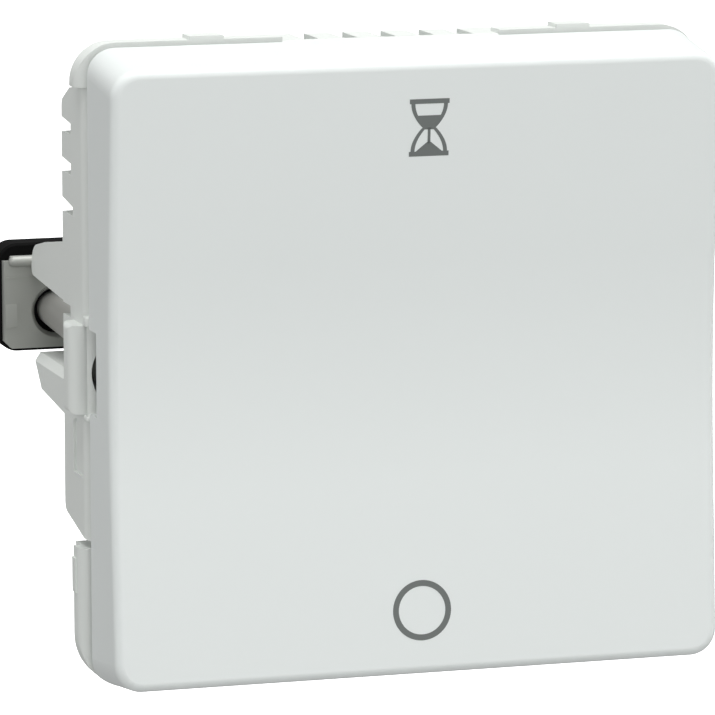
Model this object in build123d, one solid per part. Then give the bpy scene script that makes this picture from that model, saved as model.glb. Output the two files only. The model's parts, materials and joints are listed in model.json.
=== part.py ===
from build123d import *
import os
from math import radians, sin, sqrt

# A flush timer light switch insert: a tilting front plate on a support frame with claws, and
# behind it an electronics housing with screw terminals. Millimetres. X is to the right as seen
# from the room, Y goes back into the wall, Z is up. The origin is on the wall plane, in the middle.

# Shared sizes
OVERRUN = 2.0                # how far a cutting solid passes the face that it cuts
RUNNING = 0.05               # radial clearance of a part that turns or slides in its hole
TOUCH_GAP = 0.05             # rest gap between a presser and what it presses
SNAP_GAP = 0.1               # clearance of a clip or lug at its seat
SEAT_GAP = 0.2               # clearance between a moulding and the opening it fits in

# Front plate that is pressed: a shell with a shallow concave face
FACE_WIDTH = 50.0            # the module that every other width and height follows
FACE_HEIGHT_LESS = 1.2       # how much lower than wide the face is
PLATE_SIDE_DRAFT = 0.15      # the rim is wider than the face by the moulding draft
PLATE_TOP_DRAFT = 1.1        # the top and bottom slope out more than the sides
PLATE_BOTTOM_DRAFT = 0.85
PLATE_DEPTH = 7.25
FACE_TO_WALL = 15.4          # from the face's upper and lower ends to the wall plane
FACE_DIP = 1.57              # depth of the two flanks where they would meet
FACE_BLEND_RADIUS = 124.0    # the wide arc that joins the two flanks
FACE_CORNER_RADIUS = 2.2
FACE_EDGE_RADIUS = 0.7
FACE_WALL = 1.6
RIM_WALL = 1.4
RIM_NOTCH_HEIGHT = 6.7       # prising notch in each side of the rim
RIM_NOTCH_DEPTH = 2.0
PLATE_POST_WIDTH = 2.4       # posts that rest on the cradle
PLATE_POST_INSET = 4.0       # from the cradle's edge to the middle of a post
PLATE_HOOK_HEIGHT = 4.0      # hooks that grip the cradle's edges
PLATE_HOOK_THICKNESS = 1.0
PLATE_HOOK_LIP = 0.6
PLATE_HOOK_Z = 9.5
PLATE_RIB_THICKNESS = 0.9    # stiffening ribs behind the face
PLATE_RIB_GAP = 1.5          # from the cradle's upper or lower edge to the middle of a rib
PLATE_RIB_INSET = 5.0        # from the face's edge to the end of a rib
PLATE_RIB_DEPTH = 2.2

# Cradle that carries the front plate on two trunnions
CRADLE_SIDE_INSET = 0.6      # from the housing's sides to the cradle's
CRADLE_END_INSET = 3.0       # from the housing's top and bottom to the cradle's
CRADLE_THICKNESS = 1.2
CRADLE_FRONT_TO_WALL = 12.2
CRADLE_CORNER_RADIUS = 2.0
CRADLE_WINDOW_WIDTH = 14.0
CRADLE_WINDOW_HEIGHT = 18.0
TRUNNION_DIAMETER = 2.0
TRUNNION_LENGTH = 1.9
PIVOT_TO_WALL = 8.4
LUG_THICKNESS = 1.8
LUG_INSET = 3.4              # from the cradle's edge to the inner face of a lug
LUG_RADIUS = 1.7
LUG_GAP = 0.2                # play between lug and ear along the trunnion
PRESSER_INSET = 3.0          # from the cradle's upper or lower edge to the middle of a presser
PRESSER_RADIUS = 1.3
PRESSER_LENGTH = 4.0
TILT_EACH_WAY = 1.5          # degrees, to the stop

# Housing lid with its ears and plunger wells
LID_FRONT_TO_WALL = 6.2
LID_THICKNESS = 1.2
LID_SPIGOT_DEPTH = 2.0
LID_SPIGOT_WALL = 1.2
LID_OVERHANG = 1.2           # rim that lies on the support frame above and below
EAR_THICKNESS = 1.6
EAR_RADIUS = 2.0
EAR_FOOT_HEIGHT = 6.4
WELL_WALL = 1.0
WELL_DEPTH = 2.4
WELL_RADIUS = 3.2

# Plungers and their springs
CAP_RADIUS = 2.8
CAP_THICKNESS = 0.8
STEM_RADIUS = 1.5
SPRING_WIRE_RADIUS = 0.2     # half the side of the square spring wire
SPRING_RADIUS = 2.15
SPRING_TURNS = 3
SPRING_END_GAP = 0.1

# Support frame: flange, side walls with vents, claw bosses, guide arms and gussets
FRAME_STEP = 0.05            # side wall beyond the plate's rim
FRAME_CORNER_RADIUS = 2.8
FLANGE_LIP = 0.6             # flange beyond the side walls, which shows round the front plate
FLANGE_FRONT_TO_WALL = 7.2
FLANGE_THICKNESS = 2.2
FLANGE_CORNER_RADIUS = 3.2
FLANGE_LOW_CORNER_RADIUS = 4.2
FLANGE_REACH_IN = 2.0        # flange inside the side walls' outer faces
FLANGE_GAP_HALF_WIDTH = 9.0  # the flange is left out over the vents
FLANGE_CORNER_TOP = 2.9      # height of the flange's upper and lower corner pieces at the sides
FLANGE_CORNER_BOTTOM = 10.8
NIB_WIDTH = 2.8              # small snap nibs for a surround
NIB_HEIGHT = 0.3
NIB_INSET = 10.0             # from the frame's outer faces to the middle of a nib
NIB_SIDE_INSET = 8.5
NIB_SIDE_HEIGHT = 0.12
FLANGE_EDGE_RADIUS = 1.2     # round front edge at the left and right
DECK_THICKNESS = 1.6
SIDE_WALL = 1.5
SIDE_WALL_TOP_INSET = 3.3    # the side walls stop short of the corners
SIDE_WALL_END_INSET = 12.8
SIDE_WALL_LOW_SLOPE = 1.5    # the lower end slopes down towards the room
SIDE_WALL_SLOPE_DEPTH = 2.7  # bevel at the upper end's back corner
SIDE_WALL_SLOPE_HEIGHT = 1.3
SIDE_WALL_END_RADIUS = 0.8
END_WALL_INSET = 7.2         # the upper and lower walls end this far from the side walls' faces
END_WALL_STEP = 0.3          # and stand out by this much
END_WALL_BACK_TO_WALL = 2.3
END_WALL_CHAMFER = 0.3
CORNER_GAP_DEPTH = 2.0       # open gap between a side wall and the lower corner of the flange
VENT_WIDTH = 1.15
VENT_PITCH = 3.2
VENT_COUNT = 5
SIDE_VENT_COUNT = 3
VENT_START = 0.6             # the upper and lower vents start behind the flange's front
SIDE_VENT_FALL = 0.25        # drop of a side vent's upper edge towards the room
LOW_SIDE_VENT_FALL = 0.55
SIDE_VENT_DEPTH = 2.9
LOW_SIDE_VENT_DEPTH = 4.2
PANEL_TOP = 4.4              # shallow recessed panel under the claw boss
PANEL_BOTTOM = 8.8
PANEL_DEPTH = 0.2
PANEL_BACK_TO_WALL = 3.0

# Claw boss, screw and its slanted axis
BOSS_STEP = 1.1              # boss beyond the side wall
BOSS_REACH_IN = 7.9
BOSS_HEIGHT = 7.1
BOSS_MIDDLE_Z = -0.1
BOSS_FRONT_TO_WALL = 6.7
BOSS_BACK_TO_WALL = 3.4
BOSS_EDGE_RADIUS = 1.2
BOSS_CORNER_RADIUS = 0.45
CLAW_HOLE_RADIUS = 3.45
CLAW_HOLE_DEPTH = 3.6
CLAW_AXIS_INSET = 3.95       # from the side wall to where the screw's axis meets the boss's front face
CLAW_AXIS_Z = -0.35
CLAW_AXIS_OUT_DEGREES = 5.2
CLAW_AXIS_UP_DEGREES = 7.0
CLAW_SCREW_RADIUS = 1.45
CLAW_HEAD_RADIUS = 2.7
CLAW_HEAD_HEIGHT = 1.8
CLAW_SCREW_LENGTH = 23.6
CLAW_DRIVE_WIDTH = 0.9
CLAW_DRIVE_DEPTH = 1.0

# Guide arm and gusset behind each side wall
ARM_THICKNESS = 1.1
ARM_ROOT_TOP = 9.2
ARM_ROOT_BOTTOM = 4.4
ARM_SHOULDER = 0.2           # depth behind the wall plane where the arm's top starts to fall
ARM_NOSE_LENGTH = 4.6        # end part of the arm, whose upper edge falls faster
ARM_BEND_Z = 8.35
ARM_NOSE_Z = 7.4
ARM_NOSE_RADIUS = 2.1
ARM_CHIN_Z = 5.1
ARM_CHIN_RADIUS = 0.6
ARM_LENGTH = 10.6
ARM_FRONT_TO_WALL = 4.4
ARM_WINDOW_DEPTH = 2.4       # opening in the side wall between the arm and the boss
GUSSET_WIDTH = 4.7
GUSSET_CHAMFER = 0.6
GUSSET_LENGTH = 10.3
GUSSET_TOP = -1.3
GUSSET_HEEL_LENGTH = 7.6
GUSSET_HEEL_Z = -3.9
GUSSET_FOOT_Z = -4.65

# Claw: a bent steel plate on a black carrier
CLAW_PLATE_TO_WALL = 11.2    # depth of the plate's front face behind the wall plane
CLAW_PLATE_THICKNESS = 0.8
CLAW_STEP = 2.15             # claw plate beyond the side wall
CLAW_REACH_IN = 4.8
CLAW_PLATE_TOP = 6.1
CLAW_PLATE_BOTTOM = -1.1
CLAW_ROLL_RADIUS = 0.42
CLAW_PLATE_CHAMFER = 0.6
CLAW_PLATE_HOLE_RADIUS = 2.2
CARRIER_MARGIN = 0.35
CARRIER_TOP = 7.45
CARRIER_BOTTOM = -1.45
CARRIER_REACH_IN = 7.0
CARRIER_THICKNESS = 2.5
CARRIER_CORNER_RADIUS = 1.6
CLAW_TRAVEL = 4.0
CLAW_SCREW_PITCH = 0.5

# Electronics housing
HOUSING_SIDE_GAP = 0.7       # from the housing's sides to the claw bosses
HOUSING_END_INSET = 4.2      # from the frame's upper and lower edges to the housing's
HOUSING_BACK = 18.0
HOUSING_WALL = 1.4
HOUSING_BACK_WALL = 1.6
HOUSING_CORNER_RADIUS = 2.4
HOUSING_BACK_CHAMFER = 1.2
HOUSING_LUG_WIDTH = 6.0
HOUSING_LUG_HEIGHT = 0.6
HOUSING_LUG_DEPTH = 1.6
HOUSING_RIB_THICKNESS = 0.8
HOUSING_RIB_HEIGHT = 0.5
HOUSING_RIB_COUNT = 5
HOUSING_RIB_PITCH = 5.0
BOARD_LEDGE = 1.0
BOARD_LEDGE_LENGTH = 8.0

# Terminals: a captive screw lifts a cage that clamps the wire on a fixed bar
TERMINAL_COUNT = 4
TERMINAL_DEPTH = 10.5        # depth of the screw axes behind the wall plane
PARTITION = 0.9
SHELF_RISE = 13.4            # heights above the housing's bottom
CAGE_RISE = 4.1
BAR_RISE = 7.6
SHELF_THICKNESS = 1.0
CAGE_SIDE_GAP = 0.25
CAGE_DEPTH = 6.2
CAGE_HEIGHT = 8.2
CAGE_WALL = 0.9
CAGE_TRAVEL = 2.4
BAR_THICKNESS = 1.0
BAR_END = 13.3
TERMINAL_SCREW_SHARE = 0.21  # radius, of the cage's width
TERMINAL_HEAD_RADIUS = 2.2
TERMINAL_HEAD_HEIGHT = 1.5
TERMINAL_SLOT_WIDTH = 0.8
TERMINAL_SLOT_DEPTH = 0.8
TERMINAL_SCREW_PITCH = 0.5
WIRE_HOLE_RADIUS = 1.6
WIRE_FUNNEL_DEPTH = 0.6
WIRE_FUNNEL_FLARE = 0.5

# Circuit board and what it carries
BOARD_SIDE_GAP = 0.4
BOARD_END_GAP = 0.6
BOARD_THICKNESS = 1.6
BOARD_FRONT = 0.5
BOARD_CORNER_RADIUS = 1.0
TACT_WIDTH = 6.0
TACT_HEIGHT = 3.5
TACT_BUTTON_RADIUS = 1.5
TACT_BUTTON_HEIGHT = 1.0
TACT_BUTTON_WELL = 1.2
DIAL_BODY_SHARE = 0.26       # of the room's width
DIAL_BODY_HEIGHT = 3.5
DIAL_RADIUS = 3.0
DIAL_FRONT_TO_WALL = 7.4
DIAL_SHAFT_RADIUS = 1.5
DIAL_SHAFT_SEAT = 2.0
DIAL_HEAD_THICKNESS = 1.6
DIAL_SLOT_WIDTH = 1.0
DIAL_SLOT_DEPTH = 0.8
RELAY_DEPTH = 12.0
RELAY_SHARES = (-0.15, 0.725, 0.62, 0.38)            # place and size, of the bay's width and height
RELAY_CORNER = 0.8
FILM_CAPACITOR_DEPTH = 11.0
FILM_CAPACITOR_SHARES = (0.34, 0.44, 0.2, 0.6)
CHIP_DEPTH = 2.2
CHIP_SHARES = (0.3, 0.5, 0.25, 0.205)
RECTIFIER_DEPTH = 2.5
RECTIFIER_SHARES = (0.1, 0.084, 0.15, 0.15)
ROUND_CAPACITOR_HEIGHT = 11.0
ROUND_CAPACITOR_SHARES = (-0.315, 0.31, 0.13)        # place, of the bay, and radius, of its width
ROUND_CAPACITOR_GROOVE = 0.4
FUSE_HEIGHT = 8.0
FUSE_SHARES = (0.11, 0.325, 0.066)
VARISTOR_SHARES = (-0.09, 0.325, 0.118)
VARISTOR_THICKNESS_SHARE = 0.105
LEAD_RADIUS = 0.35
LEAD_LENGTH = 2.4

# Widths and heights that follow from the sizes above
FACE_HEIGHT = FACE_WIDTH - FACE_HEIGHT_LESS
PLATE_BACK_WIDTH = FACE_WIDTH + 2 * PLATE_SIDE_DRAFT
PLATE_BACK_TOP = FACE_HEIGHT / 2 + PLATE_TOP_DRAFT
PLATE_BACK_BOTTOM = FACE_HEIGHT / 2 + PLATE_BOTTOM_DRAFT
PLATE_RIB_LENGTH = FACE_WIDTH - 2 * PLATE_RIB_INSET
FRAME_WIDTH = PLATE_BACK_WIDTH + 2 * FRAME_STEP
FRAME_HALF = FRAME_WIDTH / 2
FLANGE_WIDTH = FRAME_WIDTH + 2 * FLANGE_LIP
FLANGE_INNER_WIDTH = FRAME_WIDTH - 2 * FLANGE_REACH_IN
FLANGE_SIDE_GAP_TOP = FRAME_HALF - FLANGE_CORNER_TOP
FLANGE_SIDE_GAP_BOTTOM = FRAME_HALF - FLANGE_CORNER_BOTTOM
NIB_X = FRAME_HALF - NIB_INSET
NIB_SIDE_Z = FRAME_HALF - NIB_SIDE_INSET
SIDE_WALL_TOP = FRAME_HALF - SIDE_WALL_TOP_INSET
SIDE_WALL_END = FRAME_HALF - SIDE_WALL_END_INSET
SIDE_WALL_LOW_END = SIDE_WALL_END + SIDE_WALL_LOW_SLOPE
SIDE_VENT_TOP = SIDE_WALL_TOP - VENT_PITCH
END_WALL_HALF_WIDTH = FRAME_HALF - END_WALL_INSET
END_WALL_OUTER_Z = FRAME_HALF + END_WALL_STEP
ARM_BEND_LENGTH = ARM_LENGTH - ARM_NOSE_LENGTH
BOSS_OUTER_X = FRAME_HALF + BOSS_STEP
BOSS_INNER_X = FRAME_HALF - BOSS_REACH_IN
CLAW_AXIS_X = FRAME_HALF - CLAW_AXIS_INSET
CLAW_OUTER_X = FRAME_HALF + CLAW_STEP
CLAW_INNER_X = FRAME_HALF - CLAW_REACH_IN
CARRIER_INNER_X = FRAME_HALF - CARRIER_REACH_IN
HOUSING_WIDTH = 2 * (BOSS_INNER_X - HOUSING_SIDE_GAP)
HOUSING_HEIGHT = FRAME_WIDTH - 2 * HOUSING_END_INSET
HOUSING_BOTTOM = -HOUSING_HEIGHT / 2
ROOM_WIDTH = HOUSING_WIDTH - 2 * HOUSING_WALL
ROOM_HEIGHT = HOUSING_HEIGHT - 2 * HOUSING_WALL
CRADLE_WIDTH = HOUSING_WIDTH - 2 * CRADLE_SIDE_INSET
CRADLE_HEIGHT = HOUSING_HEIGHT - 2 * CRADLE_END_INSET
LUG_INNER_X = CRADLE_WIDTH / 2 - LUG_INSET
PRESSER_Z = CRADLE_HEIGHT / 2 - PRESSER_INSET
PLATE_POST_X = CRADLE_WIDTH / 2 - PLATE_POST_INSET
PLATE_POST_Z = PRESSER_Z
PLATE_RIB_Z = CRADLE_HEIGHT / 2 + PLATE_RIB_GAP
TERMINAL_PITCH = ROOM_WIDTH / TERMINAL_COUNT
TERMINAL_X = [(index - (TERMINAL_COUNT - 1) / 2) * TERMINAL_PITCH for index in range(TERMINAL_COUNT)]
CAGE_WIDTH = TERMINAL_PITCH - PARTITION - 2 * CAGE_SIDE_GAP
CAGE_BOTTOM = HOUSING_BOTTOM + CAGE_RISE
BAR_WIDTH = CAGE_WIDTH - 2 * CAGE_WALL - 2 * SEAT_GAP
BAR_BOTTOM = HOUSING_BOTTOM + BAR_RISE
TERMINAL_SCREW_RADIUS = CAGE_WIDTH * TERMINAL_SCREW_SHARE
SHELF_Z = HOUSING_BOTTOM + SHELF_RISE
BAY_BOTTOM = SHELF_Z + SHELF_THICKNESS
BAY_HEIGHT = ROOM_HEIGHT / 2 - BAY_BOTTOM
BOARD_WIDTH = ROOM_WIDTH - 2 * BOARD_SIDE_GAP
BOARD_HEIGHT = ROOM_HEIGHT - 2 * BOARD_END_GAP
DIAL_BODY_WIDTH = ROOM_WIDTH * DIAL_BODY_SHARE

# Depths that follow from the sizes above
FACE_Y = -FACE_TO_WALL
RIM_Y = FACE_Y + PLATE_DEPTH
CRADLE_Y = -CRADLE_FRONT_TO_WALL
CRADLE_BACK_Y = CRADLE_Y + CRADLE_THICKNESS
PIVOT_Y = -PIVOT_TO_WALL
LID_Y = -LID_FRONT_TO_WALL
LID_BACK_Y = LID_Y + LID_THICKNESS
FLANGE_Y = -FLANGE_FRONT_TO_WALL
DECK_Y = FLANGE_Y + FLANGE_THICKNESS
DECK_BACK_Y = DECK_Y + DECK_THICKNESS
CAP_Y = LID_Y - WELL_DEPTH - CAP_THICKNESS
BOARD_BACK_Y = BOARD_FRONT + BOARD_THICKNESS
TACT_Y = BOARD_FRONT - TACT_HEIGHT
BUTTON_Y = TACT_Y - TACT_BUTTON_HEIGHT
BOSS_Y = -BOSS_FRONT_TO_WALL
CLAW_Y = CLAW_PLATE_TO_WALL
CARRIER_Y = CLAW_Y + CLAW_PLATE_THICKNESS
LEFT = -1
RIGHT = 1


def facing(depth):
    """A plane seen from the room at a given depth, X to the right and Z up."""
    return Plane(origin=(0, depth, 0), x_dir=(1, 0, 0), z_dir=(0, -1, 0))


def slab(outline, front, back):
    """An outline drawn as seen from the room, filled from its front depth to its back depth."""
    return extrude(facing(back) * outline, amount=back - front)


def block(x_range, y_range, z_range):
    """A box between two places along each axis."""
    corner = Vector(x_range[0], y_range[0], z_range[0])
    size = Vector(x_range[1], y_range[1], z_range[1]) - corner
    middle = corner + size / 2
    return Pos(middle.X, middle.Y, middle.Z) * Box(abs(size.X), abs(size.Y), abs(size.Z))


def rod(radius, front, back, x=0, z=0):
    """A round bar along Y."""
    return slab(Pos(x, z) * Circle(radius), front, back)


def face_profile(shift):
    """Everything behind the concave face, moved back by shift, as one prism along X."""
    half = FACE_HEIGHT / 2
    rise = FACE_DIP * OVERRUN / half
    front = FACE_Y + shift
    deep = RIM_Y + 2 * OVERRUN
    reach = half + OVERRUN
    outline = Polyline(
        (deep, reach), (front - rise, reach), (front + FACE_DIP, 0), (front - rise, -reach), (deep, -reach), close=True
    )
    sheet = make_face(outline)
    middle = sheet.vertices().filter_by(lambda vertex: vertex.Y == 0 and vertex.X < deep)
    sheet = fillet(middle, FACE_BLEND_RADIUS)
    return extrude(Plane.YZ * sheet, amount=PLATE_BACK_WIDTH, both=True)


def drafted(rim, face, depth):
    """Half the plate's size at a depth, on the straight line from its rim to its face."""
    return rim + (face - rim) * (RIM_Y - depth) / PLATE_DEPTH


def drafted_block(inset, radius, beyond=0):
    """The plate's blank from ahead of its face to beyond its rim, with its sides moved in by inset."""
    front = FACE_Y - OVERRUN
    back = RIM_Y + beyond
    half_width = [drafted(PLATE_BACK_WIDTH / 2, FACE_WIDTH / 2, depth) - inset for depth in (front, back)]
    upper = [drafted(PLATE_BACK_TOP, FACE_HEIGHT / 2, depth) - inset for depth in (front, back)]
    lower = [drafted(PLATE_BACK_BOTTOM, FACE_HEIGHT / 2, depth) - inset for depth in (front, back)]
    plan = make_face(Polyline(
        (-half_width[0], front),
        (half_width[0], front),
        (half_width[1], back),
        (-half_width[1], back),
        close=True,
    ))
    profile = make_face(Polyline(
        (front, upper[0]),
        (back, upper[1]),
        (back, -lower[1]),
        (front, -lower[0]),
        close=True,
    ))
    body = extrude(plan, amount=FACE_HEIGHT, both=True) & extrude(Plane.YZ * profile, amount=FACE_WIDTH, both=True)
    length = back - front
    upright = body.edges().filter_by(lambda e: e.bounding_box().size.Y > length / 2)
    return fillet(upright, radius)


def make_front_plate():
    """The pressed plate: a drafted shell with a concave face, posts, hooks and prising notches."""
    inner_radius = FACE_CORNER_RADIUS - FACE_EDGE_RADIUS
    body = drafted_block(0, FACE_CORNER_RADIUS) & face_profile(0)
    edge = body.edges().filter_by(lambda e: e.bounding_box().max.Y < FACE_Y + FACE_DIP)
    body = fillet(edge, FACE_EDGE_RADIUS)
    body -= drafted_block(RIM_WALL, inner_radius, OVERRUN) & face_profile(FACE_WALL)
    for side in (LEFT, RIGHT):
        inner = side * (PLATE_BACK_WIDTH / 2 - RIM_WALL - OVERRUN)
        outer = side * (PLATE_BACK_WIDTH / 2 + OVERRUN)
        half_notch = RIM_NOTCH_HEIGHT / 2
        body -= block((inner, outer), (RIM_Y - RIM_NOTCH_DEPTH, RIM_Y + OVERRUN), (-half_notch, half_notch))
    inside = drafted_block(RIM_WALL / 2, inner_radius) & face_profile(FACE_WALL / 2)
    details = []
    for side in (LEFT, RIGHT):
        for level in (LEFT, RIGHT):
            post = Pos(side * PLATE_POST_X, level * PLATE_POST_Z) * Rectangle(PLATE_POST_WIDTH, PLATE_POST_WIDTH)
            details.append(slab(post, FACE_Y, CRADLE_Y))
            hook_x = CRADLE_WIDTH / 2 + SNAP_GAP
            hook_z = (level * PLATE_HOOK_Z - PLATE_HOOK_HEIGHT / 2, level * PLATE_HOOK_Z + PLATE_HOOK_HEIGHT / 2)
            lip_y = CRADLE_BACK_Y + SNAP_GAP
            stalk = block(
                (side * hook_x, side * (hook_x + PLATE_HOOK_THICKNESS)), (FACE_Y, lip_y + PLATE_HOOK_LIP), hook_z
            )
            lip = block(
                (side * (hook_x - PLATE_HOOK_LIP - SNAP_GAP), side * (hook_x + PLATE_HOOK_THICKNESS)),
                (lip_y, lip_y + PLATE_HOOK_LIP),
                hook_z,
            )
            details.append(stalk)
            details.append(lip)
    for level in (LEFT, RIGHT):
        rib_z = (level * PLATE_RIB_Z - PLATE_RIB_THICKNESS / 2, level * PLATE_RIB_Z + PLATE_RIB_THICKNESS / 2)
        rib_x = (-PLATE_RIB_LENGTH / 2, PLATE_RIB_LENGTH / 2)
        details.append(block(rib_x, (FACE_Y, FACE_Y + FACE_WALL + PLATE_RIB_DEPTH), rib_z))
    for detail in details:
        body += detail & inside
    return body


def make_cradle():
    """The tilting carrier under the plate, with lugs, trunnions and the two round pressers."""
    outline = RectangleRounded(CRADLE_WIDTH, CRADLE_HEIGHT, CRADLE_CORNER_RADIUS)
    outline -= Rectangle(CRADLE_WINDOW_WIDTH, CRADLE_WINDOW_HEIGHT)
    body = slab(outline, CRADLE_Y, CRADLE_BACK_Y)
    for side in (LEFT, RIGHT):
        near = side * LUG_INNER_X
        far = side * (LUG_INNER_X + LUG_THICKNESS)
        tip = side * (LUG_INNER_X + LUG_THICKNESS + TRUNNION_LENGTH)
        lug = block((near, far), (CRADLE_BACK_Y, PIVOT_Y), (-LUG_RADIUS, LUG_RADIUS))
        lug += Pos((near + far) / 2, PIVOT_Y, 0) * Rot(0, 90, 0) * Cylinder(LUG_RADIUS, LUG_THICKNESS)
        lug += Pos((near + tip) / 2, PIVOT_Y, 0) * Rot(0, 90, 0) * Cylinder(TRUNNION_DIAMETER / 2, abs(tip - near))
        body += lug
    for level in (LEFT, RIGHT):
        nose_y = CAP_Y - TOUCH_GAP - PRESSER_RADIUS
        nose_z = level * PRESSER_Z
        presser = block(
            (-PRESSER_LENGTH / 2, PRESSER_LENGTH / 2),
            (CRADLE_BACK_Y, nose_y),
            (nose_z - PRESSER_RADIUS, nose_z + PRESSER_RADIUS),
        )
        presser += Pos(0, nose_y, nose_z) * Rot(0, 90, 0) * Cylinder(PRESSER_RADIUS, PRESSER_LENGTH)
        body += presser
    return body


def make_lid():
    """The housing's front wall: rim, spigot, bearing ears, plunger wells and the dial hole."""
    half_height = HOUSING_HEIGHT / 2 + LID_OVERHANG
    outline = RectangleRounded(HOUSING_WIDTH, 2 * half_height, HOUSING_CORNER_RADIUS)
    body = slab(outline, LID_Y, LID_BACK_Y)
    spigot_width = HOUSING_WIDTH - 2 * HOUSING_WALL - 2 * SEAT_GAP
    spigot_height = HOUSING_HEIGHT - 2 * HOUSING_WALL - 2 * SEAT_GAP
    spigot = RectangleRounded(spigot_width, spigot_height, HOUSING_WALL)
    spigot -= RectangleRounded(spigot_width - 2 * LID_SPIGOT_WALL, spigot_height - 2 * LID_SPIGOT_WALL, HOUSING_WALL / 2)
    body += slab(spigot, LID_BACK_Y, LID_BACK_Y + LID_SPIGOT_DEPTH)
    for level in (LEFT, RIGHT):
        body += rod(WELL_RADIUS + WELL_WALL, LID_Y - WELL_DEPTH, LID_BACK_Y, z=level * PRESSER_Z)
        body -= rod(WELL_RADIUS, LID_Y - WELL_DEPTH - OVERRUN, LID_Y, z=level * PRESSER_Z)
        body -= rod(STEM_RADIUS + RUNNING, LID_Y - OVERRUN, LID_BACK_Y + OVERRUN, z=level * PRESSER_Z)
    body -= rod(DIAL_RADIUS + SEAT_GAP, LID_Y - OVERRUN, LID_BACK_Y + OVERRUN)
    ear_inner = LUG_INNER_X + LUG_THICKNESS + LUG_GAP
    ear_middle = ear_inner + EAR_THICKNESS / 2
    for side in (LEFT, RIGHT):
        shape = make_hull((
            Pos(PIVOT_Y, 0) * Circle(EAR_RADIUS) + Pos(LID_Y, 0) * Rectangle(EAR_RADIUS, EAR_FOOT_HEIGHT)
        ).edges())
        ear = extrude(Plane.YZ * shape, amount=EAR_THICKNESS / 2, both=True)
        ear -= Pos(0, PIVOT_Y, 0) * Rot(0, 90, 0) * Cylinder(TRUNNION_DIAMETER / 2 + RUNNING, 2 * EAR_THICKNESS)
        body += Pos(side * ear_middle, 0, 0) * ear
    return body


def make_plunger(level):
    """A capped pin that carries the plate's push through the lid to the switch."""
    place = level * PRESSER_Z
    body = rod(CAP_RADIUS, CAP_Y, CAP_Y + CAP_THICKNESS, z=place)
    return body + rod(STEM_RADIUS, CAP_Y, BUTTON_Y, z=place)


def make_spring(level):
    """A coil spring in the plunger's well, from the well's floor to the plunger's cap."""
    low = CAP_Y + CAP_THICKNESS + SPRING_END_GAP + SPRING_WIRE_RADIUS
    high = LID_Y - SPRING_END_GAP - SPRING_WIRE_RADIUS
    length = high - low
    path = Helix(length / SPRING_TURNS, length, SPRING_RADIUS)
    start = path @ 0
    wire = Plane(origin=start, z_dir=path % 0) * Rectangle(2 * SPRING_WIRE_RADIUS, 2 * SPRING_WIRE_RADIUS)
    coil = sweep(wire, path=path)
    return Pos(0, low, level * PRESSER_Z) * Rot(-90, 0, 0) * coil


def rounded_square(width, radius):
    """A square with round corners."""
    return RectangleRounded(width, width, radius)


def flange_outline(width):
    """A square whose lower corners are rounder than its upper ones."""
    square = Rectangle(width, width)
    square = fillet(square.vertices().group_by(Axis.Y)[-1], FLANGE_CORNER_RADIUS)
    return fillet(square.vertices().group_by(Axis.Y)[0], FLANGE_LOW_CORNER_RADIUS)


def round_fronted(width):
    """A block of the frame's depth whose left and right front edges are round, for trimming."""
    plan = Polyline(
        (-width / 2, FLANGE_Y),
        (width / 2, FLANGE_Y),
        (width / 2, OVERRUN),
        (-width / 2, OVERRUN),
        close=True,
    )
    plan = make_face(plan)
    front = plan.vertices().group_by(Axis.Y)[0]
    return extrude(fillet(front, FLANGE_EDGE_RADIUS), amount=FLANGE_WIDTH, both=True)


def make_flange():
    """The rim round the front plate: full width at the corners, flush with the walls elsewhere."""
    rim = flange_outline(FLANGE_WIDTH)
    rim -= Rectangle(2 * FLANGE_GAP_HALF_WIDTH, FLANGE_WIDTH + OVERRUN)
    gap_height = FLANGE_SIDE_GAP_TOP + FLANGE_SIDE_GAP_BOTTOM
    gap_middle = (FLANGE_SIDE_GAP_TOP - FLANGE_SIDE_GAP_BOTTOM) / 2
    rim -= Pos(0, gap_middle) * Rectangle(FLANGE_WIDTH + OVERRUN, gap_height)
    body = slab(rim, FLANGE_Y, DECK_Y) & round_fronted(FLANGE_WIDTH)
    ring = slab(rounded_square(FRAME_WIDTH, FRAME_CORNER_RADIUS), FLANGE_Y, DECK_Y)
    body += ring & round_fronted(FRAME_WIDTH)
    body -= slab(rounded_square(FLANGE_INNER_WIDTH, FLANGE_CORNER_RADIUS / 2), FLANGE_Y - OVERRUN, DECK_Y + OVERRUN)
    edge = FLANGE_WIDTH / 2
    nib_y = (FLANGE_Y, DECK_Y)
    for side in (LEFT, RIGHT):
        near = side * NIB_X - NIB_WIDTH / 2
        for level in (LEFT, RIGHT):
            nib_z = (level * (edge - NIB_HEIGHT), level * (edge + NIB_HEIGHT))
            body += block((near, near + NIB_WIDTH), nib_y, nib_z)
        nib_x = (side * (edge - NIB_HEIGHT), side * (edge + NIB_SIDE_HEIGHT))
        low = -NIB_SIDE_Z - NIB_WIDTH / 2
        body += block(nib_x, (FLANGE_Y + FLANGE_EDGE_RADIUS, DECK_Y), (low, low + NIB_WIDTH))
    return body


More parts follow.
